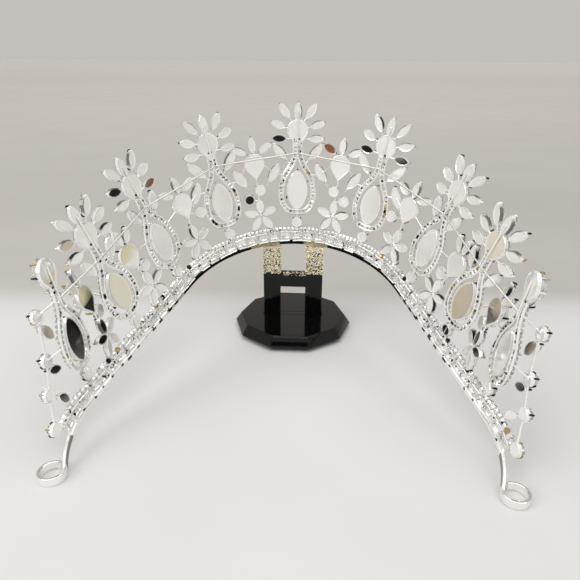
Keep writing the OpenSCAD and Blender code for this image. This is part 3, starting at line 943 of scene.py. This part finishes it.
def makeWires():
    bm = newPiece()

    def at(m, x, y, z):
        return sheetPlace(m) @ Vector((x, y, z))

    # a thin wire from place a on sheet m to place b on sheet n
    def tie(m, a, n, b, sides=2):
        addWire(bm, [at(m, *a, wire["among"]), at(n, *b, wire["among"])], wire["thin"], sides=sides)

    neck = setting["neckUp"] * tall
    for m in motifPlaces[:-1]:
        # behind the pears in the middle, over the backs further out
        depth = wire["behind"] if abs(m + 0.5) < 1 else wire["over"]
        addWire(bm, [at(m, 0, neck, depth), at(m + 1, 0, neck, depth)], wire["neck"], tone=wire["neckTone"])
    for m in motifPlaces:
        low, high = neck - wire["belowNeck"], tall * (topLeaf[1] if abs(m) < motifCount else wire["endTop"])
        addWire(bm, [at(m, 0, low, wire["over"]), at(m, 0, high, wire["over"])], wire["up"])
        low, high = band["top"] - 1, wire["footTop"] * tall
        addWire(bm, [at(m, 0, low, wire["among"]), at(m, 0, high, wire["among"])], wire["foot"])
        if abs(m) < 2:
            up = wire["shoulderUp"] * tall
            for g in (-1, 1):
                tie(m, (g * wire["shoulder"], up), m, (g * shoulderLeaf[0] * tall, up))
        # each leaf's stalk runs in toward the pear
        for x, y, turn, length, width in motifLeaves(m)[1:]:
            a = math.radians(turn)
            foot = length * setting["stones"]["leaf"][0] / 2
            start, end = ((x * tall - run * math.sin(a), y * tall - run * math.cos(a))
                          for run in (foot, foot + wire["stalk"]))
            tie(m, start, m, end, sides=1)
    for m in midPlaces:
        up = midUp(m) * tall
        tie(m, (flowerAcross(m), setting["flowerUp"] * tall), m, (0, up - wire["belowPear"]))
        for x, y in midRounds(m):
            tie(m, (x * tall, y * tall), m, (0, y * tall + wire["roundMeets"][abs(m) > 1]))
        for side in (-1, 1):
            n = m + side / 2
            x, y = wire["ringSide"], wire["ringUp"] * tall
            if abs(n) < 2:
                x, y = shoulderLeaf[0] * tall, shoulderLeaf[1] * tall
            tie(m, (side * wire["pearSide"], up), n, (-side * x, y))
    for m in endPlaces:
        side = sideOf(m)
        n = side * motifCount
        spots = [(-side * x * tall, y * tall) for x, y in endRounds]
        for a, b in zip(spots, spots[1:]):
            tie(m, a, m, b)
        tie(m, spots[1], n, (side * wire["endRingSide"], wire["endRingUp"] * tall))
        tie(m, spots[0], n, (side * wire["neckSide"], neck))
        for (x, y, turn, length, width), spot in zip(endLeaves, spots):
            tie(m, (-side * x * tall, y * tall), m, spot)
    finishPiece("wires", bm, "metal", smooth=True)


flowerBead = {"radius": 1.1, "flat": 0.8, "depth": -0.9}


def makeFlowerBeads():
    bm = newPiece()
    bead = beadShape(flowerBead["radius"], flowerBead["flat"])
    for m in midPlaces:
        spot = moved(flowerAcross(m), setting["flowerUp"] * tall, flowerBead["depth"])
        place(bm, bead, sheetPlace(m) @ spot)
    finishPiece("flowerBeads", bm, "metal", smooth=True)


makeWires()
makeFlowerBeads()
print("wires made")

# stand
stand = {
    "softened": 0.3,  # width of the softened edges
    "plateWidth": 25, "plateThick": 3, "legWidth": 7.2, "crossbarTop": 25.5,
}
glitter = {
    "count": 3300, "onCrossbar": 60, "size": 0.52, "scale": (0.6, 1.3), "sway": 35,
    "low": 25.0, "fall": 1.4,  # where it ends, and how it thins out downward
    "light": (0.75, 1.0), "green": (0.88, 0.97), "blue": (0.55, 0.85),
    # limits in the draw of a face: of the prongs, and of the crossbar, where it thins out downward too
    "top": 0.08, "front": 0.62, "rear": 0.82, "outer": 0.9, "crossbar": 0.6, "crossbarFall": 1.6,
}


# a softened copy of a plain solid
def softened(node, name):
    bm = bmesh.new()
    bm.from_mesh(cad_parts[node].data)
    bmesh.ops.remove_doubles(bm, verts=bm.verts, dist=1e-6)
    bmesh.ops.dissolve_limit(bm, angle_limit=0.02, verts=bm.verts, edges=bm.edges)
    softenEdges(bm, list(bm.edges), stand["softened"] * mm, 2)
    addPiece(name, newMesh(bm, name), "black", [node])


def makeGlitter():
    bm = newPiece()
    flake = bmesh.new()
    bmesh.ops.create_cone(flake, cap_ends=True, segments=5, radius1=0.5, radius2=0.38, depth=0.35)
    flake = template(flake)
    half, leg, thick = stand["plateWidth"] / 2, stand["legWidth"], stand["plateThick"] / 2
    top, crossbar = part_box("stand_plate")[1].z / mm, stand["crossbarTop"]
    for i in range(glitter["count"] + glitter["onCrossbar"]):
        g = draw.choice((-1, 1))
        x = g * (half - draw.uniform(0, leg))
        z = top - draw.random() ** glitter["fall"] * (top - glitter["low"])
        face = draw.random()
        if i >= glitter["count"]:
            x = jitter(half - leg)
            if face < glitter["crossbar"]:
                z = crossbar - glitter["crossbarFall"] * draw.random() ** 2
                spot, turn = (x, -thick, z), turned("X", 90)
            else:
                spot, turn = (x, jitter(thick), crossbar), Matrix.Identity(4)
        elif face < glitter["top"]:
            spot, turn = (x, jitter(thick), top), Matrix.Identity(4)
        elif face < glitter["front"]:
            spot, turn = (x, -thick, z), turned("X", 90)
        elif face < glitter["rear"]:
            spot, turn = (x, thick, z), turned("X", -90)
        elif face < glitter["outer"]:
            spot, turn = (g * half, jitter(thick), z), turned("Y", 90 * g)
        else:
            spot, turn = (g * (half - leg), jitter(thick), z), turned("Y", -90 * g)
        size = glitter["size"] * draw.uniform(*glitter["scale"])
        tip = swayed(glitter["sway"])
        light, green, blue = (draw.uniform(*glitter[part]) for part in ("light", "green", "blue"))
        tone = (light, light * green, light * blue)
        place(bm, flake, moved(*spot) @ turn @ tip @ Matrix.Scale(size, 4), tone)
    finishPiece("prongGlitter", bm, "gold")


softened("stand_plate", "standPlate")
softened("stand_base", "standBase")
makeGlitter()
print("stand made")

# floor, light and camera
stage = {
    "floorSize": 40.0, "floorReach": 5.0,  # how far its tones go
    # the floor's tones from the front to the far side: metres, tone; the darker stretch stands for the wall,
    # and the rise far off is painted light that makes up for the lamps' fall-off
    "floor": [(0.016, (0.68, 0.68, 0.67)), (0.03, (0.48, 0.46, 0.435)), (0.2, (0.46, 0.44, 0.415)),
              (0.5, (0.53, 0.508, 0.48)), (0.7, (0.58, 0.555, 0.525)), (1.05, (0.67, 0.642, 0.608)),
              (1.85, (0.79, 0.757, 0.718)), (5.0, (0.9, 0.863, 0.82))],
    "floorClouds": (14, 6.0), "floorLight": (0.96, 1.0), "floorRoughness": 0.6,
    # the room's tones by direction, from behind the camera to the far side
    "room": [(0.0, (1.06, 1.05, 1.03)), (0.615, (0.62, 0.595, 0.56)), (0.83, (0.62, 0.595, 0.56)),
             (0.885, (0.73, 0.7, 0.665))],
    "roomFrom": -0.3, "roomStrength": 0.75,
    # soft lights: place, what they point at, size, power
    "lights": {
        "overhead": ((0.0, -0.3, 1.4), (0, -0.2, 0), (2.2, 1.8), 14.5),
        "window": ((-0.7, -0.45, 0.5), (0, -0.04, 0.05), (0.4, 0.4), 2),
    },
    "cardPlace": (0.0, -1.1, 0.56), "cardSize": (0.76, 0.36), "cardTone": (0.01, 0.01, 0.01, 1),
}


def toneRamp(tree, source, stops):
    ramp = addNode(tree, "ValToRGB")
    for i, (spot, tone) in enumerate(stops):
        stop = ramp.color_ramp.elements[i] if i < 2 else ramp.color_ramp.elements.new(spot)
        stop.position = spot
        stop.color = (*tone, 1)
    tree.links.new(source, ramp.inputs["Fac"])
    return ramp.outputs["Color"]


def makeFloor():
    bm = bmesh.new()
    bmesh.ops.create_grid(bm, x_segments=1, y_segments=1, size=stage["floorSize"] / 2)
    mesh = newMesh(bm, "floor")
    material, tree, shader = nodeMaterial("paleFloor")
    clouds = noiseOn(tree, *stage["floorClouds"])
    spot = addNode(tree, "TexCoord")
    # how far a spot is from the middle, straight away from the camera
    away = addNode(tree, "VectorMath")
    away.operation = "DOT_PRODUCT"
    away.inputs[1].default_value = turned("Z", -camera["yaw"]) @ Vector((0, 1, 0))
    tree.links.new(spot.outputs["Object"], away.inputs[0])
    share = rampFrom(tree, away.outputs["Value"], 0, 1, 0, stage["floorReach"])
    fade = toneRamp(tree, share, [(far / stage["floorReach"], tone) for far, tone in stage["floor"]])
    mottle = addNode(tree, "Mix")
    mottle.data_type = "RGBA"
    mottle.blend_type = "MULTIPLY"
    setInputs(mottle, {"Factor": 1})
    tree.links.new(fade, mottle.inputs["A"])
    tree.links.new(rampFrom(tree, clouds, *stage["floorLight"]), mottle.inputs["B"])
    tree.links.new(mottle.outputs["Result"], shader.inputs["Base Color"])
    setInputs(shader, {"Roughness": stage["floorRoughness"]})
    mesh.materials.append(material)
    addObject("floor", mesh)


def softLight(name, spot, toward, size, power):
    light = bpy.data.lights.new(name, "AREA")
    light.shape = "RECTANGLE"
    light.size, light.size_y = size
    light.energy = power
    holder = addObject(name, light)
    holder.location = spot
    holder.rotation_euler = (Vector(toward) - Vector(spot)).to_track_quat("-Z", "Y").to_euler()


def makeLight():
    world = bpy.data.worlds.new("studio")
    world.use_nodes = True
    tree = world.node_tree
    background = tree.nodes["Background"]
    way = addNode(tree, "TexCoord")
    split = addNode(tree, "SeparateXYZ")
    tree.links.new(way.outputs["Generated"], split.inputs["Vector"])
    share = rampFrom(tree, split.outputs["Y"], 0, 1, stage["roomFrom"], 1)
    tree.links.new(toneRamp(tree, share, stage["room"]), background.inputs["Color"])
    setInputs(background, {"Strength": stage["roomStrength"]})
    bpy.context.scene.world = world
    bpy.context.scene.view_settings.view_transform = "Standard"
    for name, row in stage["lights"].items():
        softLight(name, *row)


# a dark card that only shows in the metal, as the unlit side of the room does
def makeDarkCard():
    bm = bmesh.new()
    where = moved(*stage["cardPlace"]) @ turned("X", 90) @ Matrix.Diagonal((*stage["cardSize"], 1, 1))
    bmesh.ops.create_grid(bm, x_segments=1, y_segments=1, size=0.5, matrix=where)
    mesh = newMesh(bm, "roomBehind")
    material, tree, shader = nodeMaterial("roomBehind")
    setInputs(shader, {"Base Color": stage["cardTone"], "Roughness": 1.0})
    mesh.materials.append(material)
    card = addObject("roomBehind", mesh)
    card.visible_camera = card.visible_shadow = False


camera = {
    "place": (10.21, -205.56, 108.66), "pitch": 24.03, "yaw": -3.2, "roll": 0.35,
    "focal": 521.55, "image": 580,  # both in pixels
    "clip": (0.005, 50),
}


def makeCamera():
    data = bpy.data.cameras.new("camera")
    data.lens = data.sensor_width * camera["focal"] / camera["image"]
    data.clip_start, data.clip_end = camera["clip"]
    holder = addObject("camera", data)
    holder.matrix_world = (Matrix.Translation(Vector(camera["place"]) * mm) @ turned("Z", -camera["yaw"])
                           @ turned("X", 90 - camera["pitch"]) @ turned("Z", camera["roll"]))
    bpy.context.scene.camera = holder


makeFloor()
makeLight()
makeDarkCard()
makeCamera()
print("stage made")
